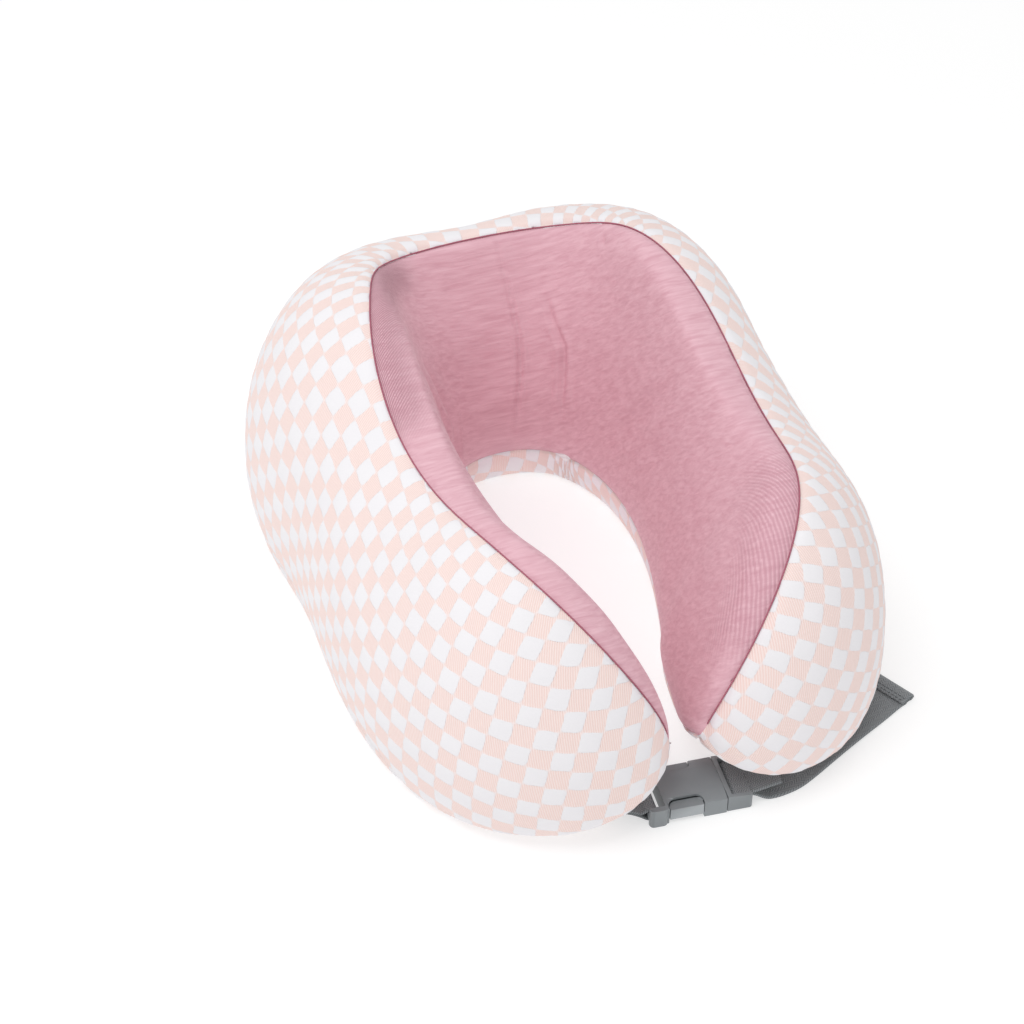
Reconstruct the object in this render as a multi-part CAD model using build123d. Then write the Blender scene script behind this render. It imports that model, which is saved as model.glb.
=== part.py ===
"""U shaped memory foam neck pillow: cover, liner, foam, back zipper and a side release buckle.

Millimetres, +Z up. The origin is on the resting plane, under the middle of the U's neck opening:
+Y points to the back of the neck, -Y to the open end, where the two arms nearly meet and the
buckle closes them. X = 0 is the plane of symmetry of the pillow.
"""
from build123d import *
import math
import os

os.makedirs("parts", exist_ok=True)

# ---- driving sizes of the pillow -------------------------------------------------------------
pillow_width = 242.0  # over the widest part of the two arms
pillow_depth = 317.0  # from the back wall to the tips of the arms
pillow_height = 137.0  # at the two humps beside the back of the neck

# The U is drawn once as sections along the +X half, and then scaled to the three sizes above.
# Each section stands in a vertical plane: where its middle is, which way its outside faces, its
# half width, its height, how far its ridge lies from its middle (+ outwards), and where the seam
# between the two fabrics of the cover crosses its top.
drawn_width, drawn_depth, drawn_height = 242.0, 317.0, 137.0
#            x      y    facing  half w  height  ridge   seam
STATIONS = [
    (0.0, 109.0, 90, 39.0, 123.0, -11.0, -12.0),
    (34.0, 106.0, 79, 43.5, 124.0, -8.0, -11.0),
    (61.5, 90.5, 46, 49.0, 130.0, -11.0, -13.0),
    (76.0, 60.0, 13, 45.5, 137.0, -18.0, -13.0),
    (78.5, 18.0, -1, 39.0, 131.0, -19.0, -4.0),
    (77.0, -24.0, -3, 41.0, 116.0, -16.0, -1.0),
    (71.0, -70.0, -12, 46.0, 115.0, -9.0, 0.0),
    (60.0, -103.0, -27, 47.0, 120.0, -3.0, 4.5),
]
wall_foot = 0.86  # the flat underside reaches this share of the half width
inner_bulge_z = 25.0  # height of the widest point of the neck side wall
outer_bulge_z = 31.0  # height of the widest point of the outside wall
foot_round = 0.44  # how full the four curves of a section are
shoulder_round = 0.55
neck_slope = 0.27

# Each arm ends in a rounded tip: its middle line bends inwards on an arc, while the section
# shrinks to a point at tip_height.
tip_radius = 92.0
tip_length = 72.0
tip_height = 34.0
tip_droop = 24.0
tip_narrowing = 6.0
tip_seam_shift = 12.0
toe_length = 110.0  # the underside lifts off the floor over this last stretch
TIP_STEPS = (0.2, 0.4, 0.58, 0.74, 0.87, 0.96, 0.995)

# ---- layers ---------------------------------------------------------------------------------
cover_thickness = 1.2
liner_thickness = 0.6
layer_gap = 0.3
inner_seam_z = 18.0  # lower edge of the neck side fabric
base_seam_z = 10.0  # seam between the outside fabric and the underside fabric
liner_seam_z = 40.0

# ---- zipper across the flat back, in the base seam ----------------------------------------------
zipper_length = 92.0
tape_width = 6.0
tape_thickness = 0.6
tape_gap = 2.0  # between the two tapes, under the coils
tape_clearance = 0.3  # between the tape and the wall behind it
coil_pitch = 1.3
coil_tooth = 0.55
coil_reach = 2.2  # half the width of the closed chain
coil_spine = 1.0
coil_thickness = 1.4
slider_length = 8.0
slider_plate = 1.0
slider_lip = 1.0
slider_clearance = 0.2
slider_travel = 76.0
post_length = 1.8
bridge_width = 2.4
bridge_wall = 0.9
bridge_rise = 2.1
tab_length = 19.0
tab_width = 6.0
tab_thickness = 1.0
grip_margin, grip_length, grip_half = 3.0, 6.0, 1.0  # the slot near the end of the tab
stop_length = 2.0
stop_gap = 0.3  # between the slider, pulled shut, and the top stops
coil_gap = 0.1  # between the bottom stop and the first tooth

# ---- side release buckle for the strap, lying flat in front of the arms --------------------------
drawn_buckle_x, drawn_buckle_y = 5.0, -149.0  # its middle, scaled with the arms' tips
buckle_turn = -6.0  # degrees, seen from above
webbing_width = 20.0
webbing_thickness = 1.0
webbing_clearance = 0.25
female_end, mouth_end, male_end = -22.0, 10.8, 22.0  # along the buckle, from its middle
strap_half = webbing_width / 2  # the buckle's widths all follow its webbing
flange_length, flange_round = 7.7, 2.0
flange_half, body_half = strap_half + 3.2, strap_half + 2.2
housing_top, housing_edge = 9.2, 8.0
housing_wall = 1.5
cavity_half, cavity_top = strap_half + 0.4, 7.8
window_start, window_end, window_depth, window_corner = -13.8, 1.2, 5.0, 3.5
bar_bottom, bar_top, bar_width = 2.4, 6.0, 2.6
half_gap = 0.4  # between the two halves when closed
prong_play = 0.4  # between the head of a prong and its window
prong_inner, prong_arm, prong_low, prong_high = strap_half - 2.1, 2.0, 1.9, 7.5
root_radius, root_play, root_back = 1.0, 0.3, 0.3
male_half, male_floor, male_top, male_tail_top = strap_half + 2.0, 0.3, 8.4, 7.4
male_wall, male_round = 2.0, 1.4
male_bar_bottom, male_bar_top = 1.9, 4.3
male_bars = ((15.2, 17.6), (20.0, 22.0))
guide_half, guide_end, guide_low, guide_high = 2.0, -6.0, 2.4, 7.0
strap_reach = 13.0  # how far the sewn straps run past the buckle, under the arms
tack_length, tack_thickness, tack_margin = 3.0, 0.5, 2.0
tail_drop = 8.0  # the free end comes down to the floor over this length
tail_bend, drawn_tail_turn = 28.0, 31.0  # the turn is less on a wider or shorter pillow
tail_straight = 70.0
hem_length = 8.0

scale_x = pillow_width / drawn_width
scale_y = pillow_depth / drawn_depth
scale_z = pillow_height / drawn_height
buckle_x, buckle_y = drawn_buckle_x * scale_x, drawn_buckle_y * scale_y
tail_turn = drawn_tail_turn * scale_y / scale_x


def blend(start, end, share):
    """The value this share of the way from start to end."""
    return start + (end - start) * share


def tip_stations():
    """Sections along the arc of the arm's tip, which shrink to a point."""
    x, y, facing, half, height, ridge, seam = STATIONS[-1]
    first = math.radians(facing)
    rows = []
    for share in TIP_STEPS:
        now = first - share * tip_length / tip_radius
        px = x + tip_radius * (math.cos(now) - math.cos(first))
        py = y + tip_radius * (math.sin(now) - math.sin(first))
        width = half - tip_narrowing * share**2
        top = height - tip_droop * share**3
        shrink = math.sqrt(1 - share**2)
        away = tip_length * (1 - share)
        rows.append((px, py, math.degrees(now), width, top, blend(ridge, 0, share),
                     seam + tip_seam_shift * share, shrink, away))
    return rows


def half_stations():
    """All sections of the +X half, each with its shrink and its distance from the end of the arm."""
    rows = []
    away = tip_length
    for index in range(len(STATIONS) - 1, -1, -1):
        if index < len(STATIONS) - 1:
            here, after = STATIONS[index], STATIONS[index + 1]
            away += math.hypot(after[0] - here[0], after[1] - here[1])
        rows.insert(0, STATIONS[index] + (1.0, away))
    return rows + tip_stations()


HALF = half_stations()
# the other half is the same list mirrored, back to front, without the middle section
FULL = [(-x, y, 180 - a, w, h, t, g, c, e) for x, y, a, w, h, t, g, c, e in HALF[:0:-1]] + HALF


def foot_height(away):
    """How far the underside is above the floor at this distance from the end of the arm."""
    share = max(0.0, 1 - away / toe_length)
    return tip_height * (1 - math.sqrt(1 - share**2))


def section_points(station, inset):
    """Corners of one section, outwards along X and up along Y, moved inwards by inset."""
    _, _, _, half, height, ridge, _, shrink, away = station
    foot = foot_height(away) + inset
    bottom = half * wall_foot * shrink - inset
    outer = (half * shrink - inset, blend(tip_height, outer_bulge_z, shrink))
    inner = (-half * shrink + inset, blend(tip_height, inner_bulge_z, shrink))
    top = (ridge * shrink, blend(tip_height, height, shrink) - inset)
    return foot, bottom, outer, inner, top


def section_face(station, inset):
    foot, bottom, outer, inner, top = section_points(station, inset)
    right, left = (bottom, foot), (-bottom, foot)
    bend = foot_round * (outer[0] - bottom)
    edges = [
        Line(left, right),
        Bezier(right, (bottom + bend, foot), (outer[0], blend(outer[1], foot, foot_round)), outer),
        Bezier(outer, (outer[0], blend(outer[1], top[1], shoulder_round)),
               (blend(top[0], outer[0], shoulder_round), top[1]), top),
        Bezier(top, (blend(top[0], inner[0], neck_slope), top[1]),
               (inner[0], blend(inner[1], top[1], neck_slope)), inner),
        Bezier(inner, (inner[0], blend(inner[1], foot, foot_round)), (-bottom - bend, foot), left),
    ]
    x, y, facing = station[:3]
    angle = math.radians(facing)
    back = inset * (1 - station[7])  # the tips of the inner layers end short of the outer ones
    x = (x - back * math.sin(angle) * (1 if x > 0 else -1)) * scale_x
    y = (y + back * abs(math.cos(angle))) * scale_y
    across = math.hypot(math.cos(angle) * scale_x, math.sin(angle) * scale_y)
    outward = (math.cos(angle) * scale_x / across, math.sin(angle) * scale_y / across, 0)
    plane = Plane(origin=(x, y, 0), x_dir=outward, z_dir=(outward[1], -outward[0], 0))
    flat = make_face(edges)
    if (across, scale_z) != (1, 1):
        flat = scale(flat, by=(across, scale_z, 1))
    return plane * flat


def pillow_solid(inset):
    """The whole U, with its surface moved inwards by inset."""
    whole = loft([section_face(station, inset) for station in FULL])
    above_floor = Pos(0, 0, pillow_height) * Box(2 * pillow_width, 2 * pillow_depth, 2 * pillow_height)
    return whole & above_floor


def seam_region(low, high):
    """The space on the neck side of the upper seam, between two heights."""
    points = []
    for x, y, facing, _, _, _, seam, shrink, _ in FULL:
        angle = math.radians(facing)
        points.append(((x + seam * shrink * math.cos(angle)) * scale_x,
                       (y + seam * shrink * math.sin(angle)) * scale_y))
    outline = [Spline(points), Line(points[-1], points[0])]
    return Pos(0, 0, low) * extrude(make_face(outline), high - low)


def slab(low, high):
    """Everything between two heights."""
    return Pos(0, 0, (low + high) / 2) * Box(2 * pillow_width, 2 * pillow_depth, high - low)


def box(x, y, z):
    """A box given by its (low, high) along each axis."""
    size = [high - low for low, high in (x, y, z)]
    return Pos(sum(x) / 2, sum(y) / 2, sum(z) / 2) * Box(*size)


# ---- cover, liner and foam ----------------------------------------------------------------------
outer_skin = pillow_solid(0)
shell = outer_skin - pillow_solid(cover_thickness)
sky = 2 * pillow_height
zip_z = base_seam_z
slider_half = coil_reach + 2 * slider_clearance + slider_lip
zip_reach = tape_gap / 2 + tape_width
zip_xs = (-zipper_length / 2 - stop_length, zipper_length / 2 + stop_length)
behind_zip = box(zip_xs, (0, pillow_depth), (zip_z - zip_reach, zip_z + zip_reach))
back_wall = (outer_skin & behind_zip).bounding_box().max.Y
zip_slot = box(zip_xs, (back_wall - slider_length, back_wall + slider_length),
               (zip_z - slider_half - layer_gap, zip_z + slider_half + layer_gap))
neck_side = seam_region(inner_seam_z, sky)
underside = slab(-1, base_seam_z) + seam_region(-1, inner_seam_z)

inner_panel = shell & neck_side
base_panel = (shell & underside) - zip_slot
outer_panel = shell - neck_side - underside - zip_slot

liner_outset = cover_thickness + layer_gap
liner = pillow_solid(liner_outset) - pillow_solid(liner_outset + liner_thickness)
liner_upper = liner & slab(liner_seam_z, sky)
liner_lower = liner & slab(-1, liner_seam_z)
foam_core = pillow_solid(liner_outset + liner_thickness + layer_gap)


# ---- zipper -------------------------------------------------------------------------------------
tape_y = back_wall + tape_clearance  # inside face of the tapes
coil_y = tape_y + tape_thickness
slider_rest = zipper_length / 2 - stop_length - slider_length  # middle of the slider when closed
post_half = tape_gap / 2 - slider_clearance
post_end = slider_rest + slider_length / 2
chain_start, chain_end = -zipper_length / 2 + stop_length, post_end - post_length - slider_clearance


def tape(side):
    near, far = zip_z + side * tape_gap / 2, zip_z + side * zip_reach
    return box((-zipper_length / 2, zipper_length / 2), (tape_y, coil_y), sorted((near, far)))


def coil(side):
    """One half of the chain: a comb whose teeth reach between those of the other half."""
    points = []
    count = int((chain_end - chain_start) / coil_pitch) - 1
    first = chain_start + (coil_pitch / 2 if side > 0 else 0)
    root, tip = coil_reach - coil_spine, -coil_reach + coil_spine + slider_clearance
    for index in range(count):
        x = first + index * coil_pitch
        points += [(x, root), (x, tip), (x + coil_tooth, tip), (x + coil_tooth, root)]
    points += [(first + count * coil_pitch, root), (first + count * coil_pitch, coil_reach),
               (first, coil_reach)]
    flat = make_face(Polyline([(x, side * z) for x, z in points], close=True))
    standing = Plane(origin=(0, coil_y, zip_z), x_dir=(1, 0, 0), z_dir=(0, -1, 0))
    return standing * extrude(flat, -coil_thickness)


plate_low = tape_y - slider_clearance - slider_plate
plate_mid = coil_y + coil_thickness + slider_clearance
plate_top = plate_mid + slider_plate


def zipper_slider():
    xs = (slider_rest - slider_length / 2, post_end)
    zs = (zip_z - slider_half, zip_z + slider_half)
    back = box(xs, (plate_low, plate_low + slider_plate), zs)
    front = box(xs, (plate_mid, plate_top), zs)
    body = fillet(back.edges().filter_by(Axis.Y), slider_lip * 0.8)
    body += fillet(front.edges().filter_by(Axis.Y), slider_lip * 0.8)
    for side in (-1, 1):
        lip = sorted((zip_z + side * (slider_half - slider_lip), zip_z + side * slider_half))
        body += box((xs[0] + slider_lip, xs[1] - slider_lip), (coil_y + slider_clearance, plate_mid), lip)
    post = (post_end - post_length, post_end)
    body += box(post, (plate_low, plate_top), (zip_z - post_half, zip_z + post_half))
    bridge_half = slider_length / 2 - slider_clearance
    wide = (zip_z - bridge_width / 2, zip_z + bridge_width / 2)
    arch = box((slider_rest - bridge_half, slider_rest + bridge_half),
               (plate_top, plate_top + bridge_rise + bridge_wall), wide)
    inside = bridge_half - bridge_wall
    arch -= box((slider_rest - inside, slider_rest + inside), (plate_top, plate_top + bridge_rise), wide)
    return body + arch


tab_axis_y = plate_top + bridge_rise / 2


def zipper_tab():
    """Lies along -X, over the closed chain, with its pin under the slider's bridge."""
    rail = bridge_width / 2 + slider_clearance * 2
    half = tab_width / 2
    outline = box((slider_rest - tab_length, slider_rest + tab_thickness / 2),
                  (tab_axis_y - tab_thickness / 2, tab_axis_y + tab_thickness / 2),
                  (zip_z - half, zip_z + half))
    outline = fillet(outline.edges().filter_by(Axis.Y).group_by(Axis.X)[0], half * 0.6)
    eye = box((slider_rest - slider_length / 2 - tab_thickness, slider_rest + tab_thickness),
              (tab_axis_y - tab_thickness, tab_axis_y + tab_thickness), (zip_z - rail, zip_z + rail))
    grip_start = slider_rest - tab_length + grip_margin
    through = (tab_axis_y - tab_thickness, tab_axis_y + tab_thickness)
    grip = box((grip_start, grip_start + grip_length), through, (zip_z - grip_half, zip_z + grip_half))
    pin = Pos(slider_rest, tab_axis_y, zip_z) * Cylinder(tab_thickness * 0.45, tab_width - 1)
    return outline - eye - grip + pin


bottom_stop = box((-zipper_length / 2, chain_start - coil_gap), (coil_y, coil_y + coil_thickness),
                  (zip_z - coil_reach, zip_z + coil_reach))
stop_xs = (post_end + stop_gap, post_end + stop_gap + stop_length)
top_stops = [box(stop_xs, (coil_y, coil_y + coil_thickness),
                 sorted((zip_z + side * tape_gap * 0.6, zip_z + side * coil_reach))) for side in (-1, 1)]


# ---- buckle -------------------------------------------------------------------------------------
at_buckle = Pos(buckle_x, buckle_y, 0) * Rot(0, 0, buckle_turn)


def window(side, play):
    """The arched opening in one side of the housing, or the prong's head inside it, less its play."""
    start, end = window_start + play, window_end - play
    deep = window_depth - play
    beyond = 0 if play else housing_wall
    place = Pos((start + end) / 2, side * (body_half - deep / 2 + beyond), housing_top / 2)
    plate = place * Box(end - start, deep + 2 * beyond, 2 * housing_top)
    corners = plate.edges().filter_by(Axis.Z).group_by(Axis.Y)[-1 if side < 0 else 0]
    return fillet(corners, window_corner - play)


def buckle_female():
    flange = box((female_end, female_end + flange_length), (-flange_half, flange_half), (0, housing_top))
    flange = fillet(flange.edges().filter_by(Axis.Z), flange_round)
    profile = Polyline((-body_half, 0), (body_half, 0), (body_half, housing_edge),
                       (body_half * 0.55, housing_top), (-body_half * 0.55, housing_top),
                       (-body_half, housing_edge), close=True)
    start = female_end + flange_length / 2
    upright = Plane(origin=(start, 0, 0), x_dir=(0, 1, 0), z_dir=(1, 0, 0))
    body = upright * extrude(make_face(profile), mouth_end - start)
    whole = flange + body
    whole -= box((window_start, mouth_end + 1), (-cavity_half, cavity_half),
                 (housing_wall, cavity_top))
    inside = webbing_width / 2 + webbing_clearance * 2
    bar_end = female_end + bar_width
    whole -= box((bar_end, window_start - housing_wall), (-inside, inside), (-1, housing_top + 1))
    whole -= box((female_end - 1, bar_end), (-inside, inside), (bar_top, housing_top + 1))
    whole -= box((female_end - 1, bar_end), (-inside, inside), (-1, bar_bottom))
    return whole - window(1, 0) - window(-1, 0)


male_root_x = mouth_end + half_gap - root_back


def prong_root(side, radius):
    centre = (male_root_x, side * (prong_inner + prong_arm / 2), (prong_low + prong_high) / 2)
    return Pos(*centre) * Cylinder(radius, prong_high - prong_low)


def buckle_male():
    start = mouth_end + half_gap
    profile = Polyline((start, male_floor), (male_end, male_floor), (male_end, male_tail_top),
                       (start, male_top), close=True)
    side_on = Plane(origin=(0, male_half, 0), x_dir=(1, 0, 0), z_dir=(0, -1, 0))
    block = side_on * extrude(make_face(profile), 2 * male_half)
    block = fillet(block.edges().filter_by(Axis.Z).group_by(Axis.X)[-1], male_round)
    inside = webbing_width / 2 + webbing_clearance
    block -= box((start + male_wall, male_end + 1), (-inside, inside), (-1, housing_top))
    for low, high in male_bars:
        block += box((low, high), (-inside, inside), (male_bar_bottom, male_bar_top))
    guide = box((guide_end, start), (-guide_half, guide_half), (guide_low, guide_high))
    guide = fillet(guide.edges().filter_by(Axis.Z).group_by(Axis.X)[0], guide_half * 0.7)
    return block + guide - prong_root(1, root_radius + root_play) - prong_root(-1, root_radius + root_play)


def buckle_prong(side):
    arm_ys = sorted((side * prong_inner, side * (prong_inner + prong_arm)))
    arm = box((window_end - prong_play - 2, male_root_x), arm_ys, (prong_low, prong_high))
    head = window(side, prong_play) & slab(prong_low, prong_high)
    return arm + head + prong_root(side, root_radius)


def underside_z(x, y):
    """Height of the underside of the pillow above a point of the floor."""
    needle = Pos(x, y, sky / 2) * Cylinder(0.5, sky)
    return (outer_skin & needle).bounding_box().min.Z


def band(points, width=webbing_width, thickness=webbing_thickness):
    """Webbing that follows a line in the buckle's X and Z, centred across the buckle."""
    upright = Plane(origin=(0, width / 2, 0), x_dir=(1, 0, 0), z_dir=(0, -1, 0))
    return upright * extrude(trace(Polyline(points), thickness), width)


def to_world(x, y):
    angle = math.radians(buckle_turn)
    return (buckle_x + x * math.cos(angle) - y * math.sin(angle),
            buckle_y + x * math.sin(angle) + y * math.cos(angle))


# ---- webbing ------------------------------------------------------------------------------------
ply = webbing_clearance + webbing_thickness / 2  # from the face of a bar to the middle of the webbing
tuck = 0.4  # the sewn ends stop this far below the cover


def lowest_cover(x):
    """Lowest point of the cover above the strap's width at this place along the buckle."""
    return min(underside_z(*to_world(x, y)) for y in (-strap_half, 0, strap_half))


def wrapped(bar):
    """The bar with one ply of webbing round it."""
    size = bar.bounding_box()
    t = webbing_thickness
    around = box((size.min.X - t, size.max.X + t), (size.min.Y, size.max.Y), (size.min.Z - t, size.max.Z + t))
    return fillet(around.edges().filter_by(Axis.Y), t)


def strap_left():
    """Two plies from the left arm's base seam, with a loop round the bar of the housing."""
    bar = (female_end, female_end + bar_width)
    hole = box((bar[0] - webbing_clearance, bar[1] + webbing_clearance), (-strap_half, strap_half),
               (bar_bottom - webbing_clearance, bar_top + webbing_clearance))
    loop = wrapped(hole) - hole
    end = female_end - strap_reach
    top = lowest_cover(end) - tuck
    start = (bar[0] - ply, (bar_bottom + bar_top) / 2)
    return loop + band([start, (end, top - webbing_thickness)], thickness=2 * webbing_thickness)


tail_over_bar = male_bar_top + webbing_clearance / 2 + webbing_thickness / 2
load_over_tail = tail_over_bar + webbing_thickness + webbing_clearance / 2
strap_joint = male_end + webbing_clearance


def strap_right():
    """The loaded ply, from the male half up to the base seam of the right arm."""
    end = male_end + strap_reach
    top = lowest_cover(end) - tuck
    return band([(strap_joint, load_over_tail), (end, top - webbing_thickness / 2)])


def strap_tail():
    """The webbing's wrap round the two bars of the male half, and its free end on the floor."""
    first_slot = (mouth_end + half_gap + male_wall + male_bars[0][0]) / 2
    second_slot = (male_bars[0][1] + male_bars[1][0]) / 2
    under = male_bar_bottom - ply
    landing = male_end + tail_drop
    wrap = band([(male_end, load_over_tail), (first_slot, load_over_tail), (first_slot, under),
                 (second_slot, under), (second_slot, tail_over_bar), (male_end + 0.5, tail_over_bar),
                 (landing, webbing_thickness / 2), (landing + 1, webbing_thickness / 2)])
    bend = CenterArc((landing, tail_bend), tail_bend, -90, tail_turn)
    turn = math.radians(tail_turn)
    ends = [(bend @ 1) + Vector(math.cos(turn), math.sin(turn)) * run
            for run in (tail_straight - hem_length, tail_straight)]
    flat = [trace(bend, webbing_width), trace(Line(bend @ 1, ends[1]), webbing_width)]
    hem = trace(Line(ends[0], ends[1]), webbing_width)
    free = extrude(flat[0], webbing_thickness) + extrude(flat[1], webbing_thickness)
    return wrap + free + extrude(hem, 2 * webbing_thickness)


def bar_tack(end):
    """A dense bar of stitches under the sewn end of a strap."""
    middle = end - math.copysign(tack_length, end)
    ends = {-1: ((female_end - ply, (bar_bottom + bar_top) / 2), 2), 1: ((strap_joint, load_over_tail), 1)}
    (start_x, start_z), plies = ends[1 if end > 0 else -1]
    end_z = lowest_cover(end) - tuck - plies * webbing_thickness / 2
    slope = (end_z - start_z) / (end - start_x)
    tilt = -math.degrees(math.atan(slope))
    on_line = start_z + slope * (middle - start_x)
    low = -plies * webbing_thickness / 2
    stitches = box((-tack_length / 2, tack_length / 2), (tack_margin - strap_half, strap_half - tack_margin),
                   (low - tack_thickness, low))
    return Pos(middle, 0, on_line) * Rot(0, tilt, 0) * stitches


# ---- the nodes ----------------------------------------------------------------------------------
nodes = {
    "foam_core": foam_core,
    "liner_upper": liner_upper,
    "liner_lower": liner_lower,
    "outer_panel": outer_panel,
    "inner_panel": inner_panel,
    "base_panel": base_panel,
    "zipper_tape_upper": tape(1),
    "zipper_tape_lower": tape(-1),
    "zipper_coil_upper": coil(1),
    "zipper_coil_lower": coil(-1),
    "zipper_slider": zipper_slider(),
    "zipper_pull_tab": zipper_tab(),
    "zipper_bottom_stop": bottom_stop,
    "zipper_top_stops": Compound(top_stops),
    "buckle_female": at_buckle * buckle_female(),
    "buckle_male": at_buckle * buckle_male(),
    "buckle_prong_rear": at_buckle * buckle_prong(1),
    "buckle_prong_front": at_buckle * buckle_prong(-1),
    "strap_left": at_buckle * strap_left(),
    "strap_right": at_buckle * strap_right(),
    "strap_tail": at_buckle * strap_tail(),
    "bar_tack_left": at_buckle * bar_tack(female_end - strap_reach),
    "bar_tack_right": at_buckle * bar_tack(male_end + strap_reach),
}
for name, solid in nodes.items():
    export_step(solid, f"parts/{name}.step")
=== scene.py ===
import math

import bmesh
import bpy
import numpy as np
from mathutils import Matrix, Vector, kdtree, noise


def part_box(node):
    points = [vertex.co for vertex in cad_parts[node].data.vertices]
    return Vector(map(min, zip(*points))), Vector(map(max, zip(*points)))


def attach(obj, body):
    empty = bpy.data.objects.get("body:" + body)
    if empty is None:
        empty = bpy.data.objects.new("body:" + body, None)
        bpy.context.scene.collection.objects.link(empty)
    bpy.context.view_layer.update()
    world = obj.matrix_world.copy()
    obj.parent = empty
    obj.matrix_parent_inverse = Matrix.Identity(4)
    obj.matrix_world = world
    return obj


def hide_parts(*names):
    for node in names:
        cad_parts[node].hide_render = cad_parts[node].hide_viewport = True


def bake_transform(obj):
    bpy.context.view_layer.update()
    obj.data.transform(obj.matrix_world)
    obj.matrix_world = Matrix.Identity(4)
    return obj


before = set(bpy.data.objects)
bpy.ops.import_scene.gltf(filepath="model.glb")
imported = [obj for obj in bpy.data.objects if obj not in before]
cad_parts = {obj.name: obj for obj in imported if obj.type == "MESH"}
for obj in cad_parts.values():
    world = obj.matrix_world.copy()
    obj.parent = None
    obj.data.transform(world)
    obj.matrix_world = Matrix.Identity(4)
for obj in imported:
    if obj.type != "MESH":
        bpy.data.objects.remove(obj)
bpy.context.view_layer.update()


# ---- The foam core ------------------------------------------------------------------------------
# One moulded block of slow memory foam, which gives the pillow its whole shape: a U that is high
# and steep at the back of the neck, and rounded off at the ends of its two arms. It lies loose in
# the liner. The shape of every soft layer is worked out here, from sections across the U.
MM = 0.001
#            x      y    facing  half  height  ridge   seam
SECTIONS = [
    (0.0, 109.0, 90, 39.0, 123.0, -11.0, -12.0),
    (34.0, 106.0, 79, 43.5, 124.0, -8.0, -11.0),
    (61.5, 90.5, 46, 49.0, 130.0, -11.0, -13.0),
    (76.0, 60.0, 13, 45.5, 137.0, -18.0, -13.0),
    (78.5, 18.0, -1, 39.0, 131.0, -19.0, -4.0),
    (77.0, -24.0, -3, 41.0, 116.0, -16.0, -1.0),
    (71.0, -70.0, -12, 46.0, 115.0, -9.0, 0.0),
    (60.0, -103.0, -27, 47.0, 120.0, -3.0, 4.5),
]
tip_radius, tip_length, tip_height = 92 * MM, 72 * MM, 34 * MM
tip_droop, tip_narrowing, tip_seam_shift = 24 * MM, 6 * MM, 12 * MM
toe_length = 110 * MM
wall_foot, foot_round, shoulder_round, neck_slope = 0.86, 0.44, 0.55, 0.27
inner_bulge, outer_bulge = 25 * MM, 31 * MM
cover_thickness, liner_thickness, layer_gap = 1.2 * MM, 0.6 * MM, 0.3 * MM
CURVE = 39  # steps along each of the five curves that make up an outline


def between(low, high, share):
    return low + (high - low) * share


def ease(value, low, high):
    """Rises smoothly from 0 at low to 1 at high."""
    share = np.clip((value - low) / (high - low), 0, 1)
    return share * share * (3 - 2 * share)


def smooth_through(knots, values, first, last):
    """A smooth function through the values, with a given slope at each end."""
    count, gap = len(knots), np.diff(knots)
    matrix, right = np.eye(count), np.zeros(values.shape)
    right[0], right[-1] = first, last
    rise = np.diff(values, axis=0) / gap[:, None]
    for i in range(1, count - 1):
        matrix[i, i - 1:i + 2] = gap[i], 2 * (gap[i - 1] + gap[i]), gap[i - 1]
        right[i] = 3 * (gap[i] * rise[i - 1] + gap[i - 1] * rise[i])
    slopes = np.linalg.solve(matrix, right)

    def at(where):
        i = np.clip(np.searchsorted(knots, where, side="right") - 1, 0, count - 2)
        t, h = ((where - knots[i]) / gap[i])[:, None], gap[i][:, None]
        start, end = values[i], values[i + 1]
        return (start * (1 + 2 * t) * (1 - t) ** 2 + end * t * t * (3 - 2 * t)
                + h * slopes[i] * t * (1 - t) ** 2 - h * slopes[i + 1] * t * t * (1 - t))

    return at


half_u = np.array([(x * MM, y * MM, math.radians(a), w * MM, h * MM, r * MM, s * MM)
                   for x, y, a, w, h, r, s in SECTIONS])
mirror = np.array([-1, 1, -1, 1, 1, 1, 1])
turned = np.array([0, 0, math.pi, 0, 0, 0, 0])
whole_u = np.vstack([half_u[:0:-1] * mirror + turned, half_u])
steps = np.hypot(*np.diff(half_u[:, :2], axis=0).T)
body_reach = steps.sum()
knots = np.concatenate([[0], np.cumsum(steps)])
knots = np.concatenate([-knots[:0:-1], knots])
last_facing = half_u[-1, 2]
end_slope = np.array([math.sin(last_facing), -math.cos(last_facing), -1 / tip_radius, 0, 0,
                      -half_u[-1, 5] / tip_length, tip_seam_shift / tip_length])
middle_line = smooth_through(knots, whole_u, -end_slope * mirror, end_slope)


def section_rows(step):
    """Sections all along the U: x, y, facing, half, height, ridge, seam, shrink, away and reach."""
    body = np.linspace(-body_reach, body_reach, 2 * round(body_reach / step) + 1)
    rows = middle_line(body)
    away = tip_length + body_reach - abs(body)
    rows = np.column_stack([rows, np.ones(len(body)), away, body])
    turns = np.linspace(0, math.pi / 2, round(95 * MM / step) + 1)[1:]
    share, shrink = np.sin(turns), np.cos(turns)
    x, y, _, half, height, ridge, seam = half_u[-1]
    facing = last_facing - share * tip_length / tip_radius
    tip = np.column_stack([
        x + tip_radius * (np.cos(facing) - math.cos(last_facing)),
        y + tip_radius * (np.sin(facing) - math.sin(last_facing)),
        facing, half - tip_narrowing * share ** 2, height - tip_droop * share ** 3,
        ridge * (1 - share), seam + tip_seam_shift * share, shrink, tip_length * (1 - share),
        body_reach + tip_length * share])
    other = tip[::-1] * np.append(mirror, [1, 1, -1]) + np.append(turned, [0, 0, 0])
    return np.vstack([other, rows, tip])


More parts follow.
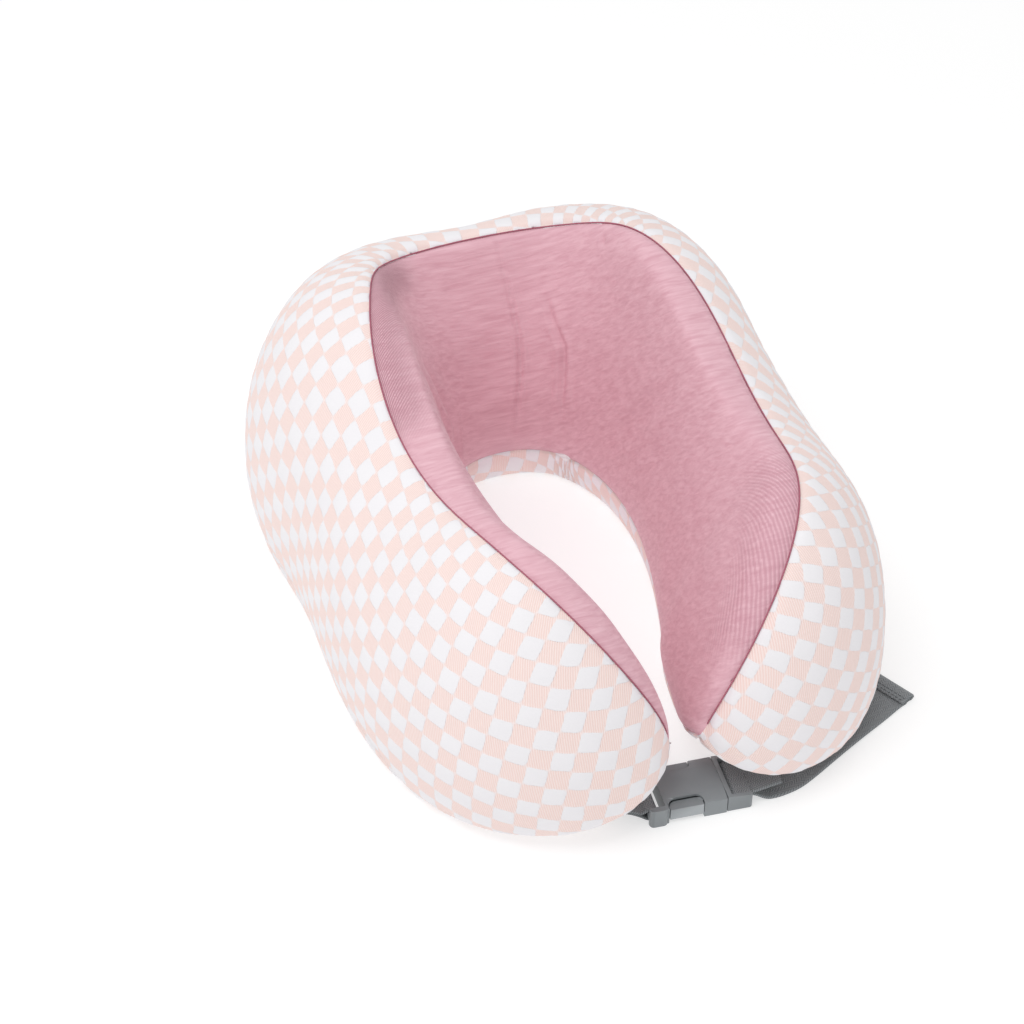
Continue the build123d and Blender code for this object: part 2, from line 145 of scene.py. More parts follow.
def outlines(rows, inset):
    """The outline of each section, outwards and up, from its outer bulge over the top and round."""
    _, _, _, half, height, ridge, _, shrink, away, _ = rows.T
    lift = np.clip(1 - away / toe_length, 0, 1)
    foot = tip_height * (1 - np.sqrt(1 - lift ** 2)) + inset
    bottom = half * wall_foot * shrink - inset
    right, left = (bottom, foot), (-bottom, foot)
    outer = (half * shrink - inset, between(tip_height, outer_bulge, shrink))
    inner = (-half * shrink + inset, between(tip_height, inner_bulge, shrink))
    top = (ridge * shrink, between(tip_height, height, shrink) - inset)
    bend = foot_round * (outer[0] - bottom)
    edges = [
        (outer, (outer[0], between(outer[1], top[1], shoulder_round)),
         (between(top[0], outer[0], shoulder_round), top[1]), top),
        (top, (between(top[0], inner[0], neck_slope), top[1]),
         (inner[0], between(inner[1], top[1], neck_slope)), inner),
        (inner, (inner[0], between(inner[1], foot, foot_round)), (-bottom - bend, foot), left),
        (left, (between(left[0], right[0], 1 / 3), foot), (between(left[0], right[0], 2 / 3), foot),
         right),
        (right, (bottom + bend, foot), (outer[0], between(outer[1], foot, foot_round)), outer),
    ]
    t = np.linspace(0, 1, CURVE + 1)[None, :, None]
    curves = []
    for points in edges:
        a, b, c, d = (np.stack(p, axis=-1)[:, None, :] for p in points)
        curve = a * (1 - t) ** 3 + 3 * b * t * (1 - t) ** 2 + 3 * c * t * t * (1 - t) + d * t ** 3
        curves.append(curve[:, :-1])
    curves.append(curve[:, -1:])
    flat = np.concatenate(curves, axis=1)
    run = np.cumsum(np.hypot(*np.moveaxis(np.diff(flat, axis=1), 2, 0)), axis=1)
    return flat, np.pad(run, ((0, 0), (1, 0)))


def first_below(flat, run, part, level, axis=1):
    """How far along each outline one of its five curves comes down to a level, or to its end."""
    start, end = part * CURVE, (part + 1) * CURVE + 1
    found = []
    for i in range(len(flat)):
        values, lengths = flat[i, start:end, axis], run[i, start:end]
        order = np.argsort(values)
        found.append(np.interp(level[i], values[order], lengths[order]))
    return np.array(found)


def standing(rows, flat, run, where, inset=0.0):
    """Points of the U's surface at the given distances along each outline."""
    x, y, facing, shrink = rows[:, 0], rows[:, 1], rows[:, 2], rows[:, 7]
    back = inset * (1 - shrink)
    x = x - back * np.sin(facing) * np.sign(x)
    y = y + back * abs(np.cos(facing))
    made = np.empty(where.shape + (3,))
    for i in range(len(rows)):
        period = run[i, -1] + 1e-9
        out, up = (np.interp(where[i], run[i], flat[i, :, k], period=period) for k in (0, 1))
        made[i] = np.column_stack([x[i] + out * math.cos(facing[i]),
                                   y[i] + out * math.sin(facing[i]), up])
    return made


def spread(start, end, count):
    return between(start[:, None], end[:, None], np.linspace(0, 1, count + 1)[None, :])


def quads_of(grid):
    """The four corners of every square in a grid of point numbers."""
    corners = [grid[:-1, :-1], grid[:-1, 1:], grid[1:, 1:], grid[1:, :-1]]
    return np.stack(corners, axis=-1).reshape(-1, 4)


def place_mesh(mesh, merge=0.0):
    """Turns a mesh's faces outwards, shades them smooth, and puts it into the scene."""
    bm = bmesh.new()
    bm.from_mesh(mesh)
    if merge:
        bmesh.ops.remove_doubles(bm, verts=bm.verts, dist=merge)
    bmesh.ops.recalc_face_normals(bm, faces=bm.faces)
    for face in bm.faces:
        face.smooth = True
    bm.to_mesh(mesh)
    bm.free()
    piece = bpy.data.objects.new(mesh.name, mesh)
    bpy.context.scene.collection.objects.link(piece)
    return piece


def closed_mesh(name, front, back, wrap=False, **attributes):
    """A closed mesh from a grid of points on its outside and one on its inside."""
    rows, columns = front.shape[:2]
    grid = np.arange(rows * columns).reshape(rows, columns)
    if wrap:
        grid = np.column_stack([grid, grid[:, 0]])
    quads = quads_of(grid)
    points, faces = front.reshape(-1, 3), quads
    if back is not None:
        inside = quads[:, ::-1] + rows * columns
        rim = [grid[:, 0], grid[::-1, -1]]
        walls = [quads_of(np.stack([r, r + rows * columns])) for r in rim]
        points = np.vstack([points, back.reshape(-1, 3)])
        faces = np.vstack([quads, inside, *walls])
    mesh = bpy.data.meshes.new(name)
    mesh.from_pydata(points.tolist(), [], faces.tolist())
    for key, values in attributes.items():
        flat = values.reshape(-1, 3)
        flat = flat if back is None else np.vstack([flat, flat])
        layer = mesh.attributes.new(key, "FLOAT_VECTOR", "POINT")
        layer.data.foreach_set("vector", flat.astype(np.float32).ravel())
    return place_mesh(mesh, merge=1e-6)


def colour(code):
    """An sRGB hex code as linear red, green, blue and alpha."""
    parts = [int(code[i:i + 2], 16) / 255 for i in (1, 3, 5)]
    return (*[c / 12.92 if c <= 0.04045 else ((c + 0.055) / 1.055) ** 2.4 for c in parts], 1)


def add(material, kind, inputs=(), **settings):
    """Adds one shader node, with its settings, its values and the links into it."""
    node = material.node_tree.nodes.new("ShaderNode" + kind)
    for name, value in settings.items():
        setattr(node, name, value)
    for socket, value in dict(inputs).items():
        if isinstance(value, bpy.types.NodeSocket):
            material.node_tree.links.new(value, node.inputs[socket])
        else:
            node.inputs[socket].default_value = value
    return node


def new_material(name):
    material = bpy.data.materials.new(name)
    material.use_nodes = True
    material.node_tree.nodes.clear()
    return material


def surface(material, **inputs):
    """Ends a material: its one shader, given by socket name, and its output."""
    shader = add(material, "BsdfPrincipled", {k.replace("_", " "): v for k, v in inputs.items()})
    add(material, "OutputMaterial", {"Surface": shader.outputs[0]})
    return material


def bump(material, height, strength, depth, over=None, **settings):
    """Relief from a pattern's height, laid over another relief if one is given."""
    inputs = {"Height": height, "Strength": strength, "Distance": depth}
    if over:
        inputs["Normal"] = over.outputs[0]
    return add(material, "Bump", inputs, **settings)


def mix(material, share, first, second):
    """A colour between two hex codes."""
    return add(material, "MixRGB", {"Fac": share, "Color1": colour(first),
                                    "Color2": colour(second)})


def speckle(material, where, size, detail=2):
    """Soft random patches of about the given size."""
    return add(material, "TexNoise", {"Vector": where, "Scale": 1 / size, "Detail": detail})


# Polyurethane foam: matt, pale cream, with open cells of about 0.8 mm in its skin.
foam = new_material("polyurethane_foam")
place = add(foam, "TexCoord").outputs["Object"]
cells = add(foam, "TexVoronoi", {"Vector": place, "Scale": 1 / (0.8 * MM)}, feature="SMOOTH_F1")
patches = speckle(foam, place, 25 * MM, 4)
tone = add(foam, "ValToRGB", {"Fac": patches.outputs["Fac"]})
tone.color_ramp.elements[0].color = colour("#EDE3C4")
tone.color_ramp.elements[1].color = colour("#F7F1DE")
pits = bump(foam, cells.outputs["Distance"], 0.5, 0.3 * MM)
surface(foam, Base_Color=tone.outputs[0], Roughness=0.92, Normal=pits.outputs[0])

coarse = section_rows(4 * MM)
foam_inset = cover_thickness + layer_gap + liner_thickness + layer_gap
flat, run = outlines(coarse, foam_inset)
ring = spread(np.zeros(len(coarse)), run[:, -1], 96)[:, :-1]
foam_core = closed_mesh("memory_foam_core", standing(coarse, flat, run, ring, foam_inset), None,
                        wrap=True)
foam_core.data.materials.append(foam)
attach(foam_core, "pillow")
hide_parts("foam_core")


# ---- The liner ----------------------------------------------------------------------------------
# A thin white tricot bag which keeps the foam clean when the cover is washed. It is cut in an upper
# and a lower half, joined by one overlocked seam right round the pillow.
liner_seam = 40 * MM
liner_inset = cover_thickness + layer_gap

# Polyester tricot: white and slightly sheer, with knitted wales 1.2 mm apart.
tricot = new_material("polyester_tricot")
place = add(tricot, "TexCoord").outputs["Object"]
wales = add(tricot, "TexWave", {"Vector": place, "Scale": 0.32 / (1.2 * MM), "Distortion": 1.5},
            bands_direction="DIAGONAL")
grain = speckle(tricot, place, 0.6 * MM)
both = add(tricot, "Math", {0: wales.outputs["Fac"], 1: grain.outputs["Fac"]}, operation="ADD")
knit = bump(tricot, both.outputs[0], 0.4, 0.2 * MM)
tone = add(tricot, "ValToRGB", {"Fac": wales.outputs["Fac"]})
tone.color_ramp.elements[0].color = colour("#E9E8EA")
tone.color_ramp.elements[1].color = colour("#F8F8F9")
surface(tricot, Base_Color=tone.outputs[0], Roughness=0.8, Normal=knit.outputs[0])

split = between(tip_height, liner_seam, coarse[:, 7])
skins, soft_layers = [], [foam_core]
for inset in (liner_inset, liner_inset + liner_thickness):
    flat, run = outlines(coarse, inset)
    outer_split = first_below(flat, run, 0, split)
    inner_split = first_below(flat, run, 1, split)
    upper = standing(coarse, flat, run, spread(outer_split, inner_split, 56), inset)
    lower = standing(coarse, flat, run, spread(inner_split, outer_split + run[:, -1], 48), inset)
    skins.append((upper, lower))
for name, outside, inside in zip(("upper", "lower"), *skins):
    liner = closed_mesh("liner_bag_" + name, outside, inside)
    liner.data.materials.append(tricot)
    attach(liner, "pillow")
    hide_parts("liner_" + name)
    soft_layers.append(liner)


# ---- The cover ----------------------------------------------------------------------------------
# Three panels sewn edge to edge and turned right side out: a checked jacquard knit round the
# outside, a soft rose crepe on the side of the neck, and the same knit again underneath. The foam
# stretches them tight, so each panel swells a little between its seams and dips into them.
neck_seam, floor_seam = 18 * MM, 10 * MM
seam_dip, seam_soft = 1.3 * MM, 2.2 * MM
check, crease_room = 10.4 * MM, 2.0 * MM

rows = section_rows(1.4 * MM)
flat, run = outlines(rows, 0.0)
shrink, away, reach = rows[:, 7], rows[:, 8], rows[:, 9]
count = len(rows)
girth = run[:, -1]
top_line = np.empty(count)
for i in range(count):
    upper_half = slice(0, 2 * CURVE + 1)
    out = flat[i, upper_half, 0]
    top_line[i] = np.interp(rows[i, 6] * shrink[i], out[::-1], run[i, upper_half][::-1])
neck_line = first_below(flat, run, 2, np.full(count, neck_seam))
floor_line = first_below(flat, run, 4, np.full(count, floor_seam))
# near the end of an arm the outer panel wraps under it, and its seam with the underside swings in
under_line = between(run[:, 3 * CURVE], run[:, 4 * CURVE], 0.25)
floor_line = between(floor_line, under_line, ease(-away, -105 * MM, -20 * MM))

wide = {"outer": 92, "neck": 96, "base": 44}
where = {"outer": spread(floor_line - girth, top_line, wide["outer"]),
         "neck": spread(top_line, neck_line, wide["neck"]),
         "base": spread(neck_line, floor_line, wide["base"])}
whole = np.hstack([where["outer"][:, :-1], where["neck"][:, :-1], where["base"][:, :-1]])
skin = standing(rows, flat, run, whole)
drawn = skin.copy()
# the neck side is one stretched cloth, which spans the two corners of the back in a smooth curve:
# each of its lengthwise threads is evened out over a stretch of itself, longest at half its depth
top_span, neck_span, foot_span, thread_step = 11 * MM, 28 * MM, 15 * MM, 1 * MM
spans = np.concatenate([top_span * ease(np.arange(wide["outer"]) / wide["outer"], 0.6, 1),
                        np.interp(np.arange(wide["neck"]) / wide["neck"], [0, 0.4, 0.7, 1],
                                  [top_span, neck_span, neck_span, foot_span]),
                        foot_span * (1 - ease(np.arange(wide["base"]) / wide["base"], 0, 0.6))])
stays = 1 - ease(abs(reach), body_reach - 60 * MM, body_reach)
for j in np.where(spans > 0.5 * MM)[0]:
    fibre = skin[:, j].copy()
    along_it = np.concatenate([[0], np.cumsum(np.linalg.norm(np.diff(fibre, axis=0), axis=1))])
    even = np.arange(0, along_it[-1], thread_step)
    weights = np.exp(-(np.arange(-75, 76) * thread_step / spans[j]) ** 2 / 2)
    for k in range(3):
        values = np.pad(np.interp(even, along_it, fibre[:, k]), 75, mode="edge")
        evened = np.convolve(values, weights / weights.sum(), mode="valid")
        skin[:, j, k] += (np.interp(along_it, even, evened) - fibre[:, k]) * stays

along = np.gradient(skin, axis=0)
across = np.roll(skin, -1, axis=1) - np.roll(skin, 1, axis=1)
normal = np.cross(across, along)
normal /= np.maximum(np.linalg.norm(normal, axis=2, keepdims=True), 1e-12)
centre = skin.mean(axis=1, keepdims=True)
normal *= np.sign(((skin - centre) * normal).sum(axis=(1, 2), keepdims=True))
for end, towards in ((0, 1), (-1, -1)):
    normal[end] = np.array([towards * math.sin(rows[end, 2]), -abs(math.cos(rows[end, 2])), 0.0])

# the foam and the liner are pressed into the same curve, and lie a little deeper behind its creases
share_down = (np.arange(whole.shape[1]) - wide["outer"]) / wide["neck"]
deeper = crease_room * ease(share_down, 0, 0.08) * (1 - ease(share_down, 0.92, 1))
moved = (skin - drawn - normal * deeper[:, None]).reshape(-1, 3)
tree = kdtree.KDTree(len(moved))
for i, point in enumerate(drawn.reshape(-1, 3).tolist()):
    tree.insert(point, i)
tree.balance()
for piece in soft_layers:
    for vertex in piece.data.vertices:
        vertex.co += Vector(moved[tree.find(vertex.co)[1]])

# lengths on the cloth itself: along the U from the middle of its back, measured on its shoulder,
# and round it from the outer bulge. The knit is stretched less towards the ends of the arms.
shoulder = standing(rows, flat, run, np.full((count, 1), 35 * MM) * shrink[:, None])[:, 0]
slack = 1 + 0.17 * ease(abs(reach), 90 * MM, 210 * MM)
step_lengths = np.linalg.norm(np.diff(shoulder, axis=0), axis=1) * slack[1:]
cloth_along = np.concatenate([[0], np.cumsum(step_lengths)])
cloth_along = np.tile((cloth_along - cloth_along[count // 2])[:, None], (1, whole.shape[1]))
# the knit is laid askew: its blocks turn from almost along the left arm to well across the right
askew = np.radians(np.interp(reach / MM, [-320, -130, 320], [9, 3, 38]))[:, None]
turned_x = np.concatenate([[0], np.cumsum(step_lengths * np.cos(askew[1:, 0]))])[:, None]
turned_y = np.concatenate([[0], np.cumsum(-step_lengths * np.sin(askew[1:, 0]))])[:, None]

columns = {"outer": slice(0, wide["outer"] + 1)}
first = wide["outer"]
columns["neck"] = slice(first, first + wide["neck"] + 1)
first += wide["neck"]
base_columns = list(range(first, first + wide["base"])) + [0]
columns["base"] = base_columns


def panel(values, name):
    return values[:, columns[name]]


def seam_shape(name):
    """How far the cloth of a panel stands out: it dips at both seams and swells in between."""
    distance = where[name]
    near = distance - distance[:, :1]
    far = distance[:, -1:] - distance
    width = distance[:, -1:] - distance[:, :1]
    dip = np.exp(-(near / seam_soft) ** 2) + np.exp(-(far / seam_soft) ** 2)
    return -seam_dip * np.minimum(dip, 1) * ease(width, 0, 20 * MM), near, far


def laid(round_it, edge):
    """The place of each point on the flat knit, and its distance from the nearest seam."""
    return np.dstack([turned_x + round_it * np.sin(askew), turned_y + round_it * np.cos(askew),
                      edge])


def ripple(points, size, seed):
    """A smooth random value from -1 to 1 at each point."""
    scaled = (points / size + seed).reshape(-1, 3)
    return np.array([noise.noise(Vector(p)) for p in scaled.tolist()]).reshape(points.shape[:-1])


def sew(name, stand, **attributes):
    """Makes one panel of the cover from how far each point of it stands out of the foam's shape."""
    base, out = panel(skin, name), panel(normal, name)
    front = base + out * stand[..., None]
    back = base - out * cover_thickness
    front[..., 2], back[..., 2] = np.maximum(front[..., 2], 0.0), np.maximum(back[..., 2], 0.3 * MM)
    piece = closed_mesh("cover_" + name + "_panel", front, back, **attributes)
    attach(piece, "pillow")
    return piece


# Jacquard knit in polyester and elastane: matt white blocks that puff up, between peach blocks
# that lie flatter and show fine slanting ribs, about 1.1 mm apart.
jacquard = new_material("polyester_jacquard_knit")
cloth = add(jacquard, "Attribute", attribute_name="cloth")
parts = add(jacquard, "SeparateXYZ", {"Vector": cloth.outputs["Vector"]})
wander = speckle(jacquard, cloth.outputs["Vector"], 9 * MM)
waves = []
for axis in ("X", "Y"):
    drift = add(jacquard, "Math", {0: wander.outputs["Fac"], 1: 1.8 * MM, 2: parts.outputs[axis]},
                operation="MULTIPLY_ADD")
    turn = add(jacquard, "Math", {0: drift.outputs[0], 1: math.pi / check}, operation="MULTIPLY")
    waves.append(add(jacquard, "Math", {0: turn.outputs[0]}, operation="SINE").outputs[0])
blocks = add(jacquard, "Math", {0: waves[0], 1: waves[1]}, operation="MULTIPLY")
white = add(jacquard, "MapRange", {"Value": blocks.outputs[0], "From Min": -0.05, "From Max": 0.09},
            interpolation_type="SMOOTHSTEP")
slant = add(jacquard, "VectorRotate", {"Vector": cloth.outputs["Vector"],
                                       "Angle": math.radians(20)},
            rotation_type="Z_AXIS")
ribs = add(jacquard, "TexWave", {"Vector": slant.outputs[0], "Scale": 0.32 / (1.1 * MM),
                                 "Distortion": 1.2,
                                 "Detail": 1, "Detail Scale": 0.6}, bands_direction="X")
stitches = speckle(jacquard, cloth.outputs["Vector"], 0.7 * MM, 3)
peach = mix(jacquard, ribs.outputs["Fac"], "#F5DAD3", "#FAE8E4")
faded = speckle(jacquard, cloth.outputs["Vector"], 40 * MM)
pale = mix(jacquard, faded.outputs["Fac"], "#EDEBEE", "#F3F1F4")
tone = add(jacquard, "MixRGB", {"Fac": white.outputs[0], "Color1": peach.outputs[0],
                                "Color2": pale.outputs[0]})
rib_height = add(jacquard, "MixRGB", {"Fac": white.outputs[0], "Color1": ribs.outputs["Fac"],
                                      "Color2": stitches.outputs["Fac"]})
puff = bump(jacquard, white.outputs[0], 0.5, 0.35 * MM)
relief = bump(jacquard, rib_height.outputs[0], 0.55, 0.22 * MM, puff)
surface(jacquard, Base_Color=tone.outputs[0], Roughness=0.85, Sheen_Weight=0.12,
        Sheen_Roughness=0.5,
        Specular_IOR_Level=0.25, Normal=relief.outputs[0])

stand, near, far = seam_shape("outer")
cloth_map = laid(where["outer"] * slack[:, None], np.minimum(near, far))
blocks_at = np.prod(np.sin(cloth_map[..., :2] * math.pi / check), axis=-1)
stand = stand + 0.25 * MM * ease(blocks_at, -0.1, 0.5) * ease(near, 0, 8 * MM)
stand += (0.7 * MM * ripple(panel(skin, "outer"), 45 * MM, 3.1)
          * ease(np.minimum(near, far), 0, 25 * MM))
outer_panel = sew("outer", stand, cloth=cloth_map)
outer_panel.data.materials.append(jacquard)
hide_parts("outer_panel")

stand, near, far = seam_shape("base")
cloth_map = laid(near, np.minimum(near, far))
base_panel = sew("base", stand, cloth=cloth_map)
base_panel.data.materials.append(jacquard)
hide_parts("base_panel")

# Rose cotton crepe: matt, with fine lengthwise crinkles about 1.6 mm apart and a soft mottle.
crepe = new_material("cotton_crepe")
place = add(crepe, "TexCoord").outputs["Object"]
tilted = add(crepe, "VectorRotate", {"Vector": place, "Angle": math.radians(-45)},
             rotation_type="X_AXIS")
drawn = add(crepe, "Mapping", {"Vector": tilted.outputs[0], "Scale": (0.1, 1, 0.3)})
crinkle = add(crepe, "TexNoise", {"Vector": drawn.outputs[0], "Scale": 1 / (1.6 * MM), "Detail": 3,
                                  "Roughness": 0.6, "Distortion": 0.4})
long_folds = speckle(crepe, drawn.outputs[0], 6 * MM)
weave = speckle(crepe, place, 0.45 * MM, 1)
shade = add(crepe, "MapRange", {"Value": crinkle.outputs["Fac"], "From Min": 0.3, "From Max": 0.7})
tone = mix(crepe, shade.outputs[0], "#D8A6B2", "#E9BEC8")
gathers = []
on_panel = add(crepe, "Attribute", attribute_name="cloth").outputs["Vector"]
strength = add(crepe, "SeparateXYZ", {"Vector": on_panel}).outputs["Z"]
for angle, spacing, side in ((45, 1.25 * MM, 1), (-68, 2.0 * MM, -1)):
    turned_cloth = add(crepe, "VectorRotate", {"Vector": on_panel, "Angle": math.radians(angle)},
                       rotation_type="Z_AXIS")
    rib = add(crepe, "TexWave", {"Vector": turned_cloth.outputs[0], "Scale": 0.314 / spacing,
                                 "Distortion": 2.0,
                                 "Detail": 1, "Detail Scale": 0.5}, bands_direction="X")
    here = add(crepe, "Math", {0: strength, 1: side}, operation="MULTIPLY", use_clamp=True)
    gathers.append(add(crepe, "Math", {0: rib.outputs["Fac"], 1: here.outputs[0]},
                       operation="MULTIPLY").outputs[0])
gathered = add(crepe, "Math", {0: gathers[0], 1: gathers[1]}, operation="ADD")
# painted shade: the gathered ribs also darken the crepe towards #C58E9C, as shade in their folds
tone = add(crepe, "MixRGB", {"Fac": gathered.outputs[0], "Color1": tone.outputs[0],
                             "Color2": colour("#C58E9C")})
soft = bump(crepe, long_folds.outputs["Fac"], 0.5, 1.2 * MM)
fine = bump(crepe, crinkle.outputs["Fac"], 0.5, 0.35 * MM, soft)
ribbed = bump(crepe, gathered.outputs[0], 0.7, 0.5 * MM, fine, invert=True)
threads = bump(crepe, weave.outputs["Fac"], 0.25, 0.15 * MM, ribbed)
surface(crepe, Base_Color=tone.outputs[0], Roughness=0.88, Sheen_Weight=0.15, Sheen_Roughness=0.45,
        Specular_IOR_Level=0.2, Normal=threads.outputs[0])

# creases left by folding: how far along the U and down the panel each runs, its depth and width
ridge_height, ridge_place = 0.35, 2.2  # the raised lip on both sides, in shares of depth and width
creases = [
    ([(8, 0.01), (11, 0.24), (15, 0.46), (14, 0.58), (11, 0.72), (8, 0.9)], 1.6, 1.1),
    ([(32, 0.28), (42, 0.41), (56, 0.5), (57, 0.65), (53, 0.8)], 1.6, 1.5),
    ([(176, 0.08), (168, 0.34), (154, 0.56), (138, 0.76)], 1.6, 4.5),
    ([(-72, 0.95), (-92, 0.8), (-120, 0.5), (-138, 0.2)], 1.8, 3.0),
    ([(-66, 0.93), (-78, 0.72), (-100, 0.52), (-108, 0.34)], 1.4, 2.4),
    ([(77, 0.06), (77.8, 0.09)], 1.2, 1.3),
]
stand, near, far = seam_shape("neck")
neck_skin = panel(skin, "neck")
for route, depth, breadth in creases:
    share_of = np.linspace(0, 1, 80)
    knots_of = np.linspace(0, 1, len(route))
    at_row = np.interp(np.interp(share_of, knots_of, [r * MM for r, _ in route]), reach,
                       np.arange(count))
    at_column = np.interp(share_of, knots_of, [v * wide["neck"] for _, v in route])
    line = neck_skin[at_row.round().astype(int), at_column.round().astype(int)]
    line = np.array([np.convolve(np.pad(c, 6, mode="edge"), np.ones(13) / 13, mode="valid")
                     for c in line.T]).T
    gaps = np.linalg.norm(neck_skin[:, :, None, :] - line[None, None, :, :], axis=3)
    closest = gaps.argmin(axis=2)
    gap = gaps.min(axis=2) / (breadth * MM)
    pressed = depth * MM * np.sin(np.linspace(0.25, math.pi - 0.25, 80))[closest]
    stand += pressed * (ridge_height * np.exp(-(gap - ridge_place) ** 2) - np.exp(-gap ** 2))
stand += 0.5 * MM * ripple(neck_skin, 22 * MM, 7.7) * ease(np.minimum(near, far), 0, 18 * MM)
# where the seam gathers the crepe, which sets both its ribs and their painted shade: a positive
# strength on the left, a negative one on the right
along_u = np.broadcast_to(reach[:, None] / MM, near.shape)
left_gather = (ease(-along_u, 30, 60) * (1 - ease(-along_u, 165, 190))
               * (1 - ease(near, 4 * MM, 22 * MM)))
right_gather = (0.6 * ease(along_u, 230, 270) * (1 - ease(along_u, 318, 330))
                * (1 - ease(near, 6 * MM, 42 * MM)))
cloth_map = np.stack([panel(cloth_along, "neck"), near, left_gather - right_gather], axis=-1)
neck_panel = sew("neck", stand, cloth=cloth_map)
neck_panel.data.materials.append(crepe)
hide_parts("inner_panel")


def sewing_thread(name, dark, light):
    """Spun polyester thread: two plies twisted 0.5 mm apart."""
    spun = new_material(name)
    place = add(spun, "TexCoord").outputs["Object"]
    twist = add(spun, "TexWave", {"Vector": place, "Scale": 0.32 / (0.5 * MM)},
                bands_direction="DIAGONAL").outputs["Fac"]
    tone = add(spun, "MixRGB", {"Fac": twist, "Color1": colour(dark), "Color2": colour(light)})
    plies = bump(spun, twist, 0.5, 0.1 * MM)
    return surface(spun, Base_Color=tone.outputs[0], Roughness=0.7, Normal=plies.outputs[0])


# its dark rose is real thread on the zipper, and painted shade where it lies in the groove of the
# upper seam
thread = sewing_thread("rose_thread_and_seam_shade", "#9C5063", "#BC7284")


def capped(points):
    """The points and faces of a long shape from its rings of points, with a face at each end."""
    count, sides = points.shape[:2]
    grid = np.arange(count * sides).reshape(count, sides)
    faces = quads_of(np.column_stack([grid, grid[:, 0]])).tolist()
    faces += [grid[0].tolist(), grid[-1, ::-1].tolist()]
    return points.reshape(-1, 3), faces


def tube(path, radius, sides):
    """A round tube along a path of points, with closed ends."""
    path = np.asarray(path)
    ahead = np.gradient(path, axis=0)
    ahead /= np.linalg.norm(ahead, axis=1, keepdims=True)
    side = np.cross(ahead, [0.0, 0.0, 1.0])
    weak = np.linalg.norm(side, axis=1) < 1e-3
    side[weak] = np.cross(ahead[weak], [0.0, 1.0, 0.0])
    side /= np.linalg.norm(side, axis=1, keepdims=True)
    up = np.cross(side, ahead)
    angle = np.linspace(0, 2 * math.pi, sides, endpoint=False)
    ring = (np.cos(angle)[None, :, None] * side[:, None, :]
            + np.sin(angle)[None, :, None] * up[:, None, :])
    return capped(path[:, None, :] + radius * ring)


def solid(name, parts, material, body, replaced=()):
    """One piece from (points, faces) parts, with its material and body, hiding the nodes it
    replaces.
    """
    points, faces, base = [], [], 0
    for part_points, part_faces in parts:
        points.append(part_points)
        faces += [[i + base for i in face] for face in part_faces]
        base += len(part_points)
    mesh = bpy.data.meshes.new(name)
    mesh.from_pydata(np.vstack(points).tolist(), [], faces)
    piece = place_mesh(mesh)
    mesh.materials.append(material)
    if body:
        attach(piece, body)
    if replaced:
        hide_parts(*replaced)
    return piece


# a dark rose thread sunk in the groove of the upper seam: painted shade, standing in for the
# groove's shadow line
sunk, thread_radius = 0.8 * MM, 0.32 * MM
seam_rows = np.where(shrink > 0.12)[0]
upper_seam = (skin[:, wide["outer"]] - normal[:, wide["outer"]] * sunk)[seam_rows]
solid("seam_groove_shade_thread", [tube(upper_seam, thread_radius, 6)], thread, "pillow")


# ---- The back zipper ----------------------------------------------------------------------------
# A nylon coil zipper in the seam across the flat back lets the foam out, so that the cover can be
# washed. Two woven tapes are stitched to the cover, and a die-cast slider joins their two coils.
tape_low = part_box("zipper_tape_upper")[0]
zip_height = (tape_low.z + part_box("zipper_tape_lower")[1].z) / 2
coil_pitch, wire = 1.3 * MM, 0.34 * MM
coil_depth, coil_reach, coil_apart = 0.38 * MM, 1.0 * MM, 0.85 * MM

# Polyester tape: rose, woven in a herringbone whose ribs are 0.9 mm apart.
tape_cloth = new_material("woven_polyester_tape")
place = add(tape_cloth, "TexCoord").outputs["Object"]
ribs = [add(tape_cloth, "TexWave", {"Vector": add(tape_cloth, "VectorRotate", {
    "Vector": place, "Angle": math.radians(angle)}, rotation_type="Y_AXIS").outputs[0],
    "Scale": 0.32 / (0.9 * MM)}, bands_direction="X").outputs["Fac"] for angle in (35, -35)]
crossed = add(tape_cloth, "Math", {0: ribs[0], 1: ribs[1]}, operation="MAXIMUM")
tone = mix(tape_cloth, crossed.outputs[0], "#D8C3C8", "#EFE3E5")
twill = bump(tape_cloth, crossed.outputs[0], 0.5, 0.2 * MM)
surface(tape_cloth, Base_Color=tone.outputs[0], Roughness=0.75, Normal=twill.outputs[0])

# Nylon monofilament: white, smooth and slightly translucent, so its highlights are soft.
nylon = new_material("nylon_monofilament")
haze = speckle(nylon, add(nylon, "TexCoord").outputs["Object"], 2 * MM)
gloss = add(nylon, "MapRange", {"Value": haze.outputs["Fac"], "To Min": 0.28, "To Max": 0.42})
surface(nylon, Base_Color=colour("#F1EEF0"), Roughness=gloss.outputs[0], IOR=1.53,
        Subsurface_Weight=0.15, Subsurface_Scale=0.5 * MM)

